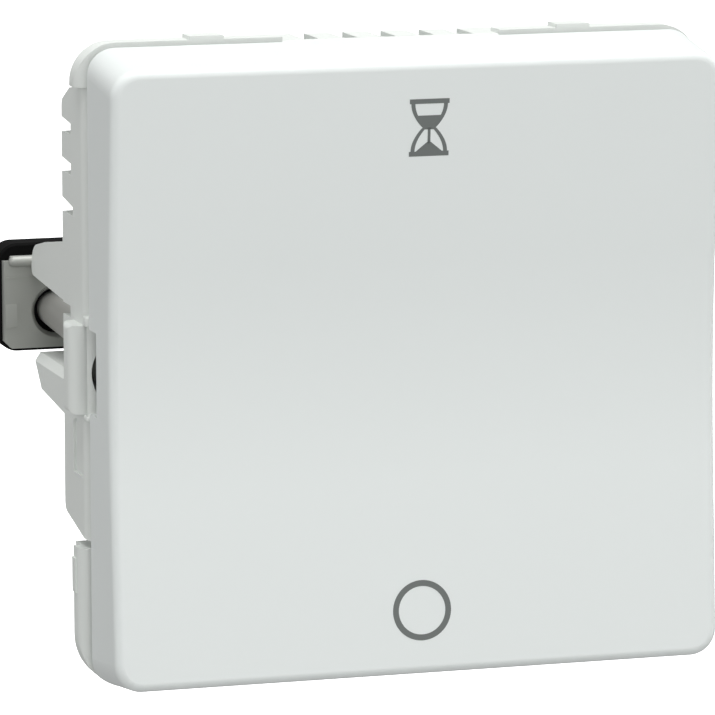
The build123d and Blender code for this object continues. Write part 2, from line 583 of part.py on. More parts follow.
def make_side_wall(side):
    """A wall that stands on the wall plane beside the deck, with sloped ends and three vents."""
    outline = make_face(Polyline(
        (FLANGE_Y, SIDE_WALL_TOP),
        (-SIDE_WALL_SLOPE_DEPTH, SIDE_WALL_TOP),
        (0, SIDE_WALL_TOP - SIDE_WALL_SLOPE_HEIGHT),
        (0, -SIDE_WALL_END),
        (FLANGE_Y, -SIDE_WALL_LOW_END),
        close=True,
    ))
    ends = outline.vertices().filter_by(lambda vertex: vertex.X > -SIDE_WALL_SLOPE_DEPTH - SNAP_GAP)
    outline = fillet(ends, SIDE_WALL_END_RADIUS)
    for index in range(SIDE_VENT_COUNT):
        middle = SIDE_VENT_TOP - index * VENT_PITCH
        last = index == SIDE_VENT_COUNT - 1
        depth = LOW_SIDE_VENT_DEPTH if last else SIDE_VENT_DEPTH
        fall = LOW_SIDE_VENT_FALL if last else SIDE_VENT_FALL
        outline -= make_face(Polyline(
            (OVERRUN, middle + VENT_WIDTH / 2),
            (0, middle + VENT_WIDTH / 2),
            (-depth, middle + VENT_WIDTH / 2 - fall),
            (-depth, middle - VENT_WIDTH / 2),
            (OVERRUN, middle - VENT_WIDTH / 2),
            close=True,
        ))
    wall = extrude(Plane.YZ * outline, amount=SIDE_WALL)
    shift = FRAME_HALF - SIDE_WALL if side == RIGHT else -FRAME_HALF
    return Pos(shift, 0, 0) * wall & round_fronted(FRAME_WIDTH)


def make_end_wall(level):
    """The upper or lower wall, with vents that are open at the back."""
    z_range = (level * (END_WALL_OUTER_Z - SIDE_WALL), level * END_WALL_OUTER_Z)
    x_range = (-END_WALL_HALF_WIDTH, END_WALL_HALF_WIDTH)
    wall = block(x_range, (FLANGE_Y, -END_WALL_BACK_TO_WALL), z_range)
    front = wall.edges().filter_by(Axis.X).group_by(Axis.Y)[0]
    outer = front.sort_by(Axis.Z)[-1] if level == RIGHT else front.sort_by(Axis.Z)[0]
    return chamfer(outer, END_WALL_CHAMFER)


def claw_axis(side):
    """The slanted screw axis as a plane whose normal points back along the screw."""
    out = side * sin(radians(CLAW_AXIS_OUT_DEGREES))
    up = sin(radians(CLAW_AXIS_UP_DEGREES))
    back = sqrt(1 - out ** 2 - up ** 2)
    return Plane(origin=(side * CLAW_AXIS_X, BOSS_Y, CLAW_AXIS_Z), x_dir=(0, -up, back), z_dir=(out, back, up))


def on_claw_axis(side, radius, start, end):
    """A round bar on the slanted axis, between two distances behind the boss's front face."""
    plane = claw_axis(side)
    return extrude(plane.offset(start) * Circle(radius), amount=end - start)


def make_arm(side):
    """The flat tongue above the claw screw, with its long round nose behind the wall plane."""
    outline = make_face(Polyline(
        (-ARM_FRONT_TO_WALL, ARM_ROOT_BOTTOM),
        (-ARM_FRONT_TO_WALL, ARM_ROOT_TOP),
        (ARM_SHOULDER, ARM_ROOT_TOP),
        (ARM_BEND_LENGTH, ARM_BEND_Z),
        (ARM_LENGTH, ARM_NOSE_Z),
        (ARM_LENGTH, ARM_CHIN_Z),
        (-ARM_WINDOW_DEPTH, ARM_ROOT_BOTTOM),
        close=True,
    ))
    tip = outline.vertices().group_by(Axis.X)[-1].sort_by(Axis.Y)
    outline = fillet(tip[1], ARM_NOSE_RADIUS)
    chin = outline.vertices().group_by(Axis.X)[-1].sort_by(Axis.Y)[0]
    outline = fillet(chin, ARM_CHIN_RADIUS)
    arm = extrude(Plane.YZ * outline, amount=ARM_THICKNESS)
    shift = FRAME_HALF - ARM_THICKNESS if side == RIGHT else -FRAME_HALF
    return Pos(shift, 0, 0) * arm


def make_gusset(side):
    """The bracket under the claw screw, as deep as the arm, with a chamfered outer edge."""
    outline = make_face(Polyline(
        (-BOSS_BACK_TO_WALL, GUSSET_TOP),
        (GUSSET_LENGTH, GUSSET_TOP),
        (GUSSET_LENGTH - GUSSET_CHAMFER, GUSSET_TOP - GUSSET_CHAMFER),
        (GUSSET_HEEL_LENGTH, GUSSET_HEEL_Z),
        (0, GUSSET_FOOT_Z),
        (-BOSS_BACK_TO_WALL, GUSSET_FOOT_Z),
        close=True,
    ))
    gusset = extrude(Plane.YZ * outline, amount=GUSSET_WIDTH)
    top = gusset.edges().filter_by(Axis.Y).group_by(Axis.Z)[-1]
    outer = top.group_by(Axis.X)[-1] if side == RIGHT else top.group_by(Axis.X)[0]
    gusset = chamfer(outer, GUSSET_CHAMFER)
    shift = FRAME_HALF - GUSSET_WIDTH if side == RIGHT else -FRAME_HALF
    return Pos(shift, 0, 0) * gusset


def make_boss(side):
    """The block for the claw screw's head, rounded where it stands out of the side wall."""
    half = FRAME_HALF
    low = BOSS_MIDDLE_Z - BOSS_HEIGHT / 2
    high = BOSS_MIDDLE_Z + BOSS_HEIGHT / 2
    width = BOSS_OUTER_X - BOSS_INNER_X
    front_view = Pos(side * (BOSS_OUTER_X + BOSS_INNER_X) / 2, BOSS_MIDDLE_Z)
    front_view *= RectangleRounded(width, BOSS_HEIGHT, BOSS_CORNER_RADIUS)
    boss = block((side * BOSS_INNER_X, side * BOSS_OUTER_X), (BOSS_Y, -BOSS_BACK_TO_WALL), (low, high))
    upright = boss.edges().filter_by(Axis.Z).filter_by(lambda e: abs(e.center().X) > half)
    boss = fillet(upright, BOSS_EDGE_RADIUS) & slab(front_view, BOSS_Y, -BOSS_BACK_TO_WALL)
    return boss + block((side * BOSS_INNER_X, side * half), (BOSS_Y, 0), (low, high))


def make_support_frame():
    """The carrier of the whole insert: flange, deck, walls, bosses and guides in one moulding."""
    half = FRAME_HALF
    deck = rounded_square(FRAME_WIDTH, FRAME_CORNER_RADIUS)
    deck -= RectangleRounded(HOUSING_WIDTH + 2 * SEAT_GAP, HOUSING_HEIGHT + 2 * SEAT_GAP, HOUSING_CORNER_RADIUS)
    body = make_flange() + slab(deck, DECK_Y, DECK_BACK_Y)
    vent_y = (FLANGE_Y + VENT_START, OVERRUN)
    for level in (LEFT, RIGHT):
        body += make_end_wall(level)
        vent_z = (level * (END_WALL_OUTER_Z - SIDE_WALL), level * (END_WALL_OUTER_Z + OVERRUN))
        for index in range(VENT_COUNT):
            middle = (index - (VENT_COUNT - 1) / 2) * VENT_PITCH
            body -= block((middle - VENT_WIDTH / 2, middle + VENT_WIDTH / 2), vent_y, vent_z)
    for side in (LEFT, RIGHT):
        body += make_side_wall(side)
        panel_x = (side * (half - PANEL_DEPTH), side * (half + OVERRUN))
        body -= block(panel_x, (FLANGE_Y + FLANGE_EDGE_RADIUS, -PANEL_BACK_TO_WALL), (-PANEL_BOTTOM, -PANEL_TOP))
        gap = make_face(Polyline(
            (OVERRUN, -SIDE_WALL_END),
            (0, -SIDE_WALL_END),
            (FLANGE_Y, -SIDE_WALL_LOW_END),
            (FLANGE_Y - OVERRUN, -SIDE_WALL_LOW_END),
            (FLANGE_Y - OVERRUN, -FLANGE_SIDE_GAP_BOTTOM),
            (OVERRUN, -FLANGE_SIDE_GAP_BOTTOM),
            close=True,
        ))
        gap = extrude(Plane.YZ * gap, amount=CORNER_GAP_DEPTH + OVERRUN)
        shift = half - CORNER_GAP_DEPTH if side == RIGHT else -half - OVERRUN
        body -= Pos(shift, 0, 0) * gap
        boss_top = BOSS_MIDDLE_Z + BOSS_HEIGHT / 2
        window_x = (side * (half - SIDE_WALL), side * (half + OVERRUN))
        body -= block(window_x, (-ARM_WINDOW_DEPTH, OVERRUN), (boss_top, ARM_ROOT_BOTTOM))
        body += make_arm(side) + make_gusset(side) + make_boss(side)
        body -= on_claw_axis(side, CLAW_HOLE_RADIUS, -OVERRUN, CLAW_HOLE_DEPTH)
        body -= on_claw_axis(side, CLAW_SCREW_RADIUS + RUNNING, 0, FACE_TO_WALL)
    return body


def make_claw_screw(side):
    """The captive claw screw: a slotted head in the boss and a long plain shank."""
    seat = CLAW_HOLE_DEPTH - TOUCH_GAP
    head = on_claw_axis(side, CLAW_HEAD_RADIUS, seat - CLAW_HEAD_HEIGHT, seat)
    head = chamfer(head.edges().group_by(Axis.Y)[0], CLAW_DRIVE_DEPTH / 4)
    plane = claw_axis(side).offset(seat - CLAW_HEAD_HEIGHT)
    slot = plane * Rectangle(2 * CLAW_HEAD_RADIUS + OVERRUN, CLAW_DRIVE_WIDTH)
    head -= extrude(slot, amount=CLAW_DRIVE_DEPTH)
    return head + on_claw_axis(side, CLAW_SCREW_RADIUS, seat, seat + CLAW_SCREW_LENGTH)


def make_claw_plate(side):
    """The steel claw: a flat plate with a rolled top edge, cut lower corner and a drawn hole."""
    outline = Polyline(
        (CLAW_INNER_X, CLAW_PLATE_BOTTOM),
        (CLAW_OUTER_X - CLAW_PLATE_CHAMFER, CLAW_PLATE_BOTTOM),
        (CLAW_OUTER_X, CLAW_PLATE_BOTTOM + CLAW_PLATE_CHAMFER),
        (CLAW_OUTER_X, CLAW_PLATE_TOP),
        (CLAW_INNER_X, CLAW_PLATE_TOP),
        close=True,
    )
    body = slab(make_face(outline), CLAW_Y, CARRIER_Y)
    roll_length = CLAW_OUTER_X - CLAW_INNER_X - CLAW_PLATE_CHAMFER
    roll_x = CLAW_INNER_X + roll_length / 2
    roll_y = CARRIER_Y - CLAW_ROLL_RADIUS
    body += Pos(roll_x, roll_y, CLAW_PLATE_TOP) * Rot(0, 90, 0) * Cylinder(CLAW_ROLL_RADIUS, roll_length)
    body -= on_claw_axis(RIGHT, CLAW_PLATE_HOLE_RADIUS, 0, CLAW_SCREW_LENGTH)
    return body if side == RIGHT else mirror(body, Plane.YZ)


def make_claw_carrier(side):
    """The black carrier: a rounded block behind the claw plate, threaded on the claw screw."""
    outer = CLAW_OUTER_X + CARRIER_MARGIN
    width = outer - CARRIER_INNER_X
    height = CARRIER_TOP - CARRIER_BOTTOM
    outline = RectangleRounded(width, height, CARRIER_CORNER_RADIUS)
    outline = Pos((outer + CARRIER_INNER_X) / 2, (CARRIER_TOP + CARRIER_BOTTOM) / 2) * outline
    body = slab(outline, CARRIER_Y, CARRIER_Y + CARRIER_THICKNESS)
    front = body.edges().group_by(Axis.Y)[0]
    body = chamfer(front, CARRIER_MARGIN / 2)
    body -= on_claw_axis(RIGHT, CLAW_SCREW_RADIUS + RUNNING, 0, 2 * CLAW_SCREW_LENGTH)
    return body if side == RIGHT else mirror(body, Plane.YZ)


def make_rear_housing():
    """The electronics box: open front, terminal chambers below, wire and screw holes."""
    outer = RectangleRounded(HOUSING_WIDTH, HOUSING_HEIGHT, HOUSING_CORNER_RADIUS)
    body = slab(outer, DECK_Y, HOUSING_BACK)
    body = chamfer(body.edges().group_by(Axis.Y)[-1], HOUSING_BACK_CHAMFER)
    room = RectangleRounded(ROOM_WIDTH, ROOM_HEIGHT, HOUSING_CORNER_RADIUS - HOUSING_WALL)
    room_back = HOUSING_BACK - HOUSING_BACK_WALL
    body -= slab(room, DECK_Y - OVERRUN, room_back)
    chamber_front = TERMINAL_DEPTH - CAGE_DEPTH / 2 - SEAT_GAP
    half_room = ROOM_WIDTH / 2
    body += block((-half_room, half_room), (chamber_front, room_back), (SHELF_Z, SHELF_Z + SHELF_THICKNESS))
    for index in range(TERMINAL_COUNT - 1):
        middle = TERMINAL_X[index] + TERMINAL_PITCH / 2
        wall_x = (middle - PARTITION / 2, middle + PARTITION / 2)
        body += block(wall_x, (chamber_front, room_back), (-ROOM_HEIGHT / 2, SHELF_Z))
    wire_z = BAR_BOTTOM + BAR_THICKNESS + WIRE_HOLE_RADIUS - TOUCH_GAP
    for place in TERMINAL_X:
        body -= rod(WIRE_HOLE_RADIUS, room_back - OVERRUN, HOUSING_BACK + OVERRUN, x=place, z=wire_z)
        funnel = facing(HOUSING_BACK) * Pos(place, wire_z) * Circle(WIRE_HOLE_RADIUS + WIRE_FUNNEL_FLARE)
        throat = facing(HOUSING_BACK - WIRE_FUNNEL_DEPTH) * Pos(place, wire_z) * Circle(WIRE_HOLE_RADIUS)
        body -= loft([throat, funnel])
        well = Pos(place, TERMINAL_DEPTH, HOUSING_BOTTOM) * Cylinder(TERMINAL_HEAD_RADIUS + RUNNING, 2 * HOUSING_WALL)
        body -= well
    for level in (LEFT, RIGHT):
        edge = level * HOUSING_HEIGHT / 2
        wedge = Polyline(
            (DECK_BACK_Y + SNAP_GAP, edge),
            (DECK_BACK_Y + SNAP_GAP, edge + level * HOUSING_LUG_HEIGHT),
            (DECK_BACK_Y + SNAP_GAP + HOUSING_LUG_DEPTH, edge),
            close=True,
        )
        body += extrude(Plane.YZ * make_face(wedge), amount=HOUSING_LUG_WIDTH / 2, both=True)
    for side in (LEFT, RIGHT):
        face_x = side * HOUSING_WIDTH / 2
        for index in range(HOUSING_RIB_COUNT):
            middle = (index - (HOUSING_RIB_COUNT - 1) / 2) * HOUSING_RIB_PITCH
            rib_z = (middle - HOUSING_RIB_THICKNESS / 2, middle + HOUSING_RIB_THICKNESS / 2)
            rib_y = (CARRIER_Y + CARRIER_THICKNESS, HOUSING_BACK - HOUSING_BACK_CHAMFER)
            body += block((face_x - side * HOUSING_RIB_HEIGHT, face_x + side * HOUSING_RIB_HEIGHT), rib_y, rib_z)
        for level in (LEFT, RIGHT):
            ledge_z = level * (ROOM_HEIGHT / 2 - BOARD_LEDGE_LENGTH / 2)
            ledge_span = (ledge_z - BOARD_LEDGE_LENGTH / 2, ledge_z + BOARD_LEDGE_LENGTH / 2)
            ledge_x = (side * (half_room - BOARD_LEDGE), side * half_room)
            body += block(ledge_x, (BOARD_BACK_Y, BOARD_BACK_Y + BOARD_LEDGE), ledge_span)
    return body


def make_terminal_screw(place):
    """A captive screw whose head shows in the housing's bottom wall."""
    head_top = HOUSING_BOTTOM + TERMINAL_HEAD_HEIGHT
    head = Cylinder(TERMINAL_HEAD_RADIUS, TERMINAL_HEAD_HEIGHT, align=(Align.CENTER, Align.CENTER, Align.MIN))
    slot_size = 2 * TERMINAL_HEAD_RADIUS + OVERRUN
    slot = Box(slot_size, TERMINAL_SLOT_WIDTH, TERMINAL_SLOT_DEPTH, align=(Align.CENTER, Align.CENTER, Align.MIN))
    length = BAR_BOTTOM - SNAP_GAP - head_top
    shank = Cylinder(TERMINAL_SCREW_RADIUS, length, align=(Align.CENTER, Align.CENTER, Align.MIN))
    screw = head - slot + Pos(0, 0, TERMINAL_HEAD_HEIGHT) * shank
    return Pos(place, TERMINAL_DEPTH, HOUSING_BOTTOM) * screw


def make_terminal_cage(place):
    """The lifting cage: a square tube along the wire, with the screw through its lower wall."""
    outer = Rectangle(CAGE_WIDTH, CAGE_HEIGHT)
    inner = Rectangle(CAGE_WIDTH - 2 * CAGE_WALL, CAGE_HEIGHT - 2 * CAGE_WALL)
    middle = CAGE_BOTTOM + CAGE_HEIGHT / 2
    half_depth = CAGE_DEPTH / 2
    tube = slab(Pos(place, middle) * (outer - inner), TERMINAL_DEPTH - half_depth, TERMINAL_DEPTH + half_depth)
    hole = Cylinder(TERMINAL_SCREW_RADIUS + RUNNING, 2 * OVERRUN)
    return tube - Pos(place, TERMINAL_DEPTH, CAGE_BOTTOM) * hole


def make_contact_bar(place):
    """The fixed current bar between the board and its terminal."""
    bar_x = (place - BAR_WIDTH / 2, place + BAR_WIDTH / 2)
    return block(bar_x, (BOARD_BACK_Y, BAR_END), (BAR_BOTTOM, BAR_BOTTOM + BAR_THICKNESS))


def make_circuit_board():
    """The board, with holes for the dial and for the component leads."""
    outline = RectangleRounded(BOARD_WIDTH, BOARD_HEIGHT, BOARD_CORNER_RADIUS)
    return slab(outline, BOARD_FRONT, BOARD_BACK_Y)


def make_switch_body(level):
    """A push switch on the board's front, with a well for its button."""
    place = level * PRESSER_Z
    body = slab(Pos(0, place) * Rectangle(TACT_WIDTH, TACT_WIDTH), TACT_Y, BOARD_FRONT)
    return body - rod(TACT_BUTTON_RADIUS + RUNNING, TACT_Y - OVERRUN, TACT_Y + TACT_BUTTON_WELL, z=place)


def make_switch_button(level):
    """The button that the plunger pushes into its switch."""
    well_floor = TACT_Y + TACT_BUTTON_WELL / 2
    return rod(TACT_BUTTON_RADIUS, BUTTON_Y, well_floor, z=level * PRESSER_Z)


def make_dial_body():
    """The setting potentiometer on the board."""
    body = slab(Rectangle(DIAL_BODY_WIDTH, DIAL_BODY_WIDTH), BOARD_FRONT - DIAL_BODY_HEIGHT, BOARD_FRONT)
    seat = BOARD_FRONT - DIAL_BODY_HEIGHT
    return body - rod(DIAL_SHAFT_RADIUS + RUNNING, seat - OVERRUN, seat + DIAL_SHAFT_SEAT + SNAP_GAP)


def make_time_dial():
    """The slotted dial that sets the running time, reached with the front plate off."""
    front = -DIAL_FRONT_TO_WALL
    seat = BOARD_FRONT - DIAL_BODY_HEIGHT
    head = rod(DIAL_RADIUS, front, front + DIAL_HEAD_THICKNESS)
    head = chamfer(head.edges().group_by(Axis.Y)[0], DIAL_SLOT_DEPTH / 2)
    slot_z = (-DIAL_SLOT_WIDTH / 2, DIAL_SLOT_WIDTH / 2)
    reach = DIAL_RADIUS - DIAL_SLOT_WIDTH
    head -= block((-reach, DIAL_RADIUS + OVERRUN), (front - OVERRUN, front + DIAL_SLOT_DEPTH), slot_z)
    return head + rod(DIAL_SHAFT_RADIUS, front + DIAL_HEAD_THICKNESS, seat + DIAL_SHAFT_SEAT)


def bay_place(shares):
    """The point on the board at these shares of the bay above the terminals."""
    return (shares[0] * ROOM_WIDTH, BAY_BOTTOM + shares[1] * BAY_HEIGHT)


def board_block(shares, front, back):
    """A square component at its shares of the bay, between two depths."""
    outline = Rectangle(shares[2] * ROOM_WIDTH, shares[3] * BAY_HEIGHT)
    return slab(Pos(*bay_place(shares)) * outline, front, back)


def make_relay():
    """The relay's case, with rounded upright edges."""
    body = board_block(RELAY_SHARES, BOARD_BACK_Y, BOARD_BACK_Y + RELAY_DEPTH)
    return fillet(body.edges().filter_by(Axis.Y), RELAY_CORNER)


def make_round_capacitor():
    """The electrolytic can with the groove near its foot."""
    x, z = bay_place(ROUND_CAPACITOR_SHARES)
    radius = ROUND_CAPACITOR_SHARES[2] * ROOM_WIDTH
    body = rod(radius, BOARD_BACK_Y, BOARD_BACK_Y + ROUND_CAPACITOR_HEIGHT, x=x, z=z)
    groove_y = BOARD_BACK_Y + 2 * ROUND_CAPACITOR_GROOVE
    groove = rod(radius + OVERRUN, groove_y, groove_y + ROUND_CAPACITOR_GROOVE, x=x, z=z)
    groove -= rod(radius - ROUND_CAPACITOR_GROOVE, groove_y - OVERRUN, groove_y + OVERRUN, x=x, z=z)
    return body - groove


def make_varistor():
    """The varistor disc on its two leads."""
    x, z = bay_place(VARISTOR_SHARES)
    radius = VARISTOR_SHARES[2] * ROOM_WIDTH
    middle_y = BOARD_BACK_Y + LEAD_LENGTH + radius
    disc = Pos(x, middle_y, z) * Rot(0, 90, 0) * Cylinder(radius, VARISTOR_THICKNESS_SHARE * ROOM_WIDTH)
    for level in (LEFT, RIGHT):
        disc += rod(LEAD_RADIUS, BOARD_BACK_Y, middle_y, x=x, z=z + level * radius / 2)
    return disc


def make_fuse():
    """The round board fuse."""
    x, z = bay_place(FUSE_SHARES)
    return rod(FUSE_SHARES[2] * ROOM_WIDTH, BOARD_BACK_Y, BOARD_BACK_Y + FUSE_HEIGHT, x=x, z=z)


parts = {
    "front_plate": make_front_plate(),
    "tilt_cradle": make_cradle(),
    "housing_lid": make_lid(),
    "support_frame": make_support_frame(),
    "rear_housing": make_rear_housing(),
    "circuit_board": make_circuit_board(),
    "time_dial": make_time_dial(),
    "dial_body": make_dial_body(),
    "relay": make_relay(),
    "film_capacitor": board_block(FILM_CAPACITOR_SHARES, BOARD_BACK_Y, BOARD_BACK_Y + FILM_CAPACITOR_DEPTH),
    "round_capacitor": make_round_capacitor(),
    "varistor": make_varistor(),
    "fuse": make_fuse(),
    "control_chip": board_block(CHIP_SHARES, BOARD_FRONT - CHIP_DEPTH, BOARD_FRONT),
    "bridge_rectifier": board_block(RECTIFIER_SHARES, BOARD_BACK_Y, BOARD_BACK_Y + RECTIFIER_DEPTH),
}
for name, level in (("start", RIGHT), ("stop", LEFT)):
    parts[name + "_plunger"] = make_plunger(level)
    parts[name + "_spring"] = make_spring(level)
    parts[name + "_switch"] = make_switch_body(level)
    parts[name + "_switch_button"] = make_switch_button(level)
for name, side in (("left", LEFT), ("right", RIGHT)):
    parts["claw_screw_" + name] = make_claw_screw(side)
    parts["claw_plate_" + name] = make_claw_plate(side)
    parts["claw_carrier_" + name] = make_claw_carrier(side)
for index, place in enumerate(TERMINAL_X, start=1):
    parts["terminal_screw_" + str(index)] = make_terminal_screw(place)
    parts["terminal_cage_" + str(index)] = make_terminal_cage(place)
    parts["contact_bar_" + str(index)] = make_contact_bar(place)

os.makedirs("parts", exist_ok=True)
for name, shape in parts.items():
    export_step(shape, "parts/" + name + ".step")
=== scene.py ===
import json
from math import cos, pi, radians, sin

import bmesh
import bpy
from mathutils import Matrix, Vector


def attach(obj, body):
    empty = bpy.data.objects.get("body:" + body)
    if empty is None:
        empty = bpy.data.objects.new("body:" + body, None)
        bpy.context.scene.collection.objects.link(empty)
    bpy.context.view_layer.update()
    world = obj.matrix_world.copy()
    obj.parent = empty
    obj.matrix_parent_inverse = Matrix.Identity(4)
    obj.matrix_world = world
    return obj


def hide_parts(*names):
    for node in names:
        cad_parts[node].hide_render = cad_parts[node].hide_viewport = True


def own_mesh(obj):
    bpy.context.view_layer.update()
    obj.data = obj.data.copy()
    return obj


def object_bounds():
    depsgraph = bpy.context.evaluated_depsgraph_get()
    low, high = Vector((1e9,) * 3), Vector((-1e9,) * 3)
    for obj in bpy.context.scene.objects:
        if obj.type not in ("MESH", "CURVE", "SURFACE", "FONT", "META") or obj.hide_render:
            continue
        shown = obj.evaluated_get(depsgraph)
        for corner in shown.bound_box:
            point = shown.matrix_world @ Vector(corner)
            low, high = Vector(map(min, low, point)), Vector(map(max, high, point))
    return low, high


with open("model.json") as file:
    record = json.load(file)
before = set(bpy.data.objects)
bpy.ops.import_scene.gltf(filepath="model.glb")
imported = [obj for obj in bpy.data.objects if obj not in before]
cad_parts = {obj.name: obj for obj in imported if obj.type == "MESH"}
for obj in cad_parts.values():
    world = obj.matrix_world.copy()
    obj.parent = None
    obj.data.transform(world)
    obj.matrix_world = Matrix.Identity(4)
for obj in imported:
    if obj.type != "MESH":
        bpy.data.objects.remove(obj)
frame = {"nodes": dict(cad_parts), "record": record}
cad_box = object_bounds()
nodes = frame["nodes"]

# Camera: fitted to the plate's edges in the photograph, a little to the left and above.
# The object touches the right edge of the picture, which the shift follows.
aim = Vector((0.29421, 0.94171, -0.16315)).normalized()
camera_data = bpy.data.cameras.new("camera")
camera_data.lens = 286.36
camera_data.sensor_width = 36
camera_data.shift_x = -0.0594
camera_data.shift_y = 0.0035
camera_data.clip_start = 0.01
camera = bpy.data.objects.new("camera", camera_data)
bpy.context.collection.objects.link(camera)
camera.location = (-0.13325, -0.43593, 0.0738)
camera.rotation_euler = aim.to_track_quat("-Z", "Y").to_euler()
bpy.context.scene.camera = camera
bpy.context.scene.view_settings.view_transform = "Standard"

# Light: a wide lamp overhead, a soft fill from the front and a weak one from each side.
# The top faces burn out to white, as in the photograph, and the sides stay grey.
white = (1, 1, 1, 1)
world_strength = 0.385
lamps = [
    ("overhead", (0.05, -0.12, 0.95), 0.9, 9.3),
    ("front_fill", (0.12, -1.1, 0.22), 0.8, 3.7),
    ("left_fill", (-1.0, -0.3, 0.3), 0.6, 1.8),
    ("right_fill", (1.0, -0.3, 0.3), 0.6, 1.8),
]
for name, place, size, power in lamps:
    lamp = bpy.data.lights.new(name, "AREA")
    lamp.shape = "SQUARE"
    lamp.size = size
    lamp.energy = power
    holder = bpy.data.objects.new(name, lamp)
    holder.location = place
    holder.rotation_euler = (-Vector(place)).to_track_quat("-Z", "Y").to_euler()
    bpy.context.collection.objects.link(holder)

world = bpy.data.worlds.new("studio")
world.use_nodes = True
world.node_tree.nodes["Background"].inputs["Color"].default_value = white
world.node_tree.nodes["Background"].inputs["Strength"].default_value = world_strength
bpy.context.scene.world = world

# Floor and backdrop: a pale floor well below the insert and a white wall far behind it.
# They are seen but send no light back, so the sides keep the photograph's greys.
floor_drop = 0.04
floor_size = 3.0
backdrop_distance = 1.2
stage_grey = (0.9, 0.9, 0.9, 1)
stage_roughness = 0.9
stage_glow = 1.0
for name, centre, turn in (
    ("floor", (0, 0, cad_box[0][2] - floor_drop), 0),
    ("backdrop", (0, backdrop_distance, 0), pi / 2),
):
    mesh = bpy.data.meshes.new(name)
    shape = bmesh.new()
    bmesh.ops.create_grid(shape, x_segments=1, y_segments=1, size=floor_size)
    bmesh.ops.transform(shape, matrix=Matrix.Rotation(turn, 4, "X"), verts=shape.verts)
    shape.to_mesh(mesh)
    shape.free()
    piece = bpy.data.objects.new(name, mesh)
    piece.location = centre
    bpy.context.collection.objects.link(piece)
    material = bpy.data.materials.new(name)
    material.use_nodes = True
    surface = material.node_tree.nodes["Principled BSDF"]
    surface.inputs["Base Color"].default_value = stage_grey
    surface.inputs["Roughness"].default_value = stage_roughness
    surface.inputs["Emission Color"].default_value = white
    surface.inputs["Emission Strength"].default_value = stage_glow
    mesh.materials.append(material)
    piece.visible_diffuse = False
    piece.visible_glossy = False
    piece.visible_shadow = False

# Rear housing and terminals: a grey moulded box with four screw clamps in chambers at its foot.
# Each clamp is a plated steel cage that its screw draws against a brass contact bar.
# None of it is in the photograph. The clamps' screws have the claw screws' steel.
cloud_scale = 180
cloud_detail = 3
gloss_spread = 0.04
speckle_scale = 9000
speckle_height = 0.00002
node_sharp_angle = radians(24)


def moulded(name, colour, roughness, grain, tone=0.03, metal=0.0, specular=0.5):
    """A material with uneven tone, fine grain and slightly varying gloss."""
    material = bpy.data.materials.new(name)
    material.use_nodes = True
    tree = material.node_tree
    surface = tree.nodes["Principled BSDF"]
    surface.inputs["Metallic"].default_value = metal
    surface.inputs["Specular IOR Level"].default_value = specular
    place = tree.nodes.new("ShaderNodeTexCoord")
    cloud = tree.nodes.new("ShaderNodeTexNoise")
    cloud.inputs["Scale"].default_value = cloud_scale
    cloud.inputs["Detail"].default_value = cloud_detail
    tree.links.new(place.outputs["Object"], cloud.inputs["Vector"])
    shade = tree.nodes.new("ShaderNodeMapRange")
    shade.inputs["To Min"].default_value = 1 - tone
    shade.inputs["To Max"].default_value = 1
    tree.links.new(cloud.outputs["Fac"], shade.inputs["Value"])
    tint = tree.nodes.new("ShaderNodeVectorMath")
    tint.operation = "SCALE"
    tint.inputs[0].default_value = colour
    tree.links.new(shade.outputs["Result"], tint.inputs["Scale"])
    tree.links.new(tint.outputs["Vector"], surface.inputs["Base Color"])
    gloss = tree.nodes.new("ShaderNodeMapRange")
    gloss.inputs["To Min"].default_value = roughness - gloss_spread
    gloss.inputs["To Max"].default_value = roughness + gloss_spread
    tree.links.new(cloud.outputs["Fac"], gloss.inputs["Value"])
    tree.links.new(gloss.outputs["Result"], surface.inputs["Roughness"])
    speckle = tree.nodes.new("ShaderNodeTexNoise")
    speckle.inputs["Scale"].default_value = speckle_scale
    tree.links.new(place.outputs["Object"], speckle.inputs["Vector"])
    bump = tree.nodes.new("ShaderNodeBump")
    bump.inputs["Strength"].default_value = grain
    bump.inputs["Distance"].default_value = speckle_height
    tree.links.new(speckle.outputs["Fac"], bump.inputs["Height"])
    tree.links.new(bump.outputs["Normal"], surface.inputs["Normal"])
    return material


def dress(slot, **finish):
    """Make a slot's material, give it to the slot's CAD nodes and smooth their gentle edges."""
    material = moulded(slot, **finish)
    for entry in frame["record"]["subparts"]:
        if entry["material_slot"] == slot:
            mesh = nodes[entry["node"]].data
            mesh.materials.clear()
            mesh.materials.append(material)
            mesh.shade_smooth()
            mesh.set_sharp_from_angle(angle=node_sharp_angle)
    return material


dress("housing_grey", colour=(0.58, 0.6, 0.59), roughness=0.6, grain=0.35)
dress("terminal_steel", colour=(0.6, 0.6, 0.58), roughness=0.38, grain=0.3, tone=0.12, metal=1.0)
dress("screw_steel", colour=(0.5, 0.5, 0.475), roughness=0.5, grain=0.2, tone=0.12, metal=0.5)
dress("bar_brass", colour=(0.7, 0.5, 0.2), roughness=0.3, grain=0.2, tone=0.1, metal=1.0)

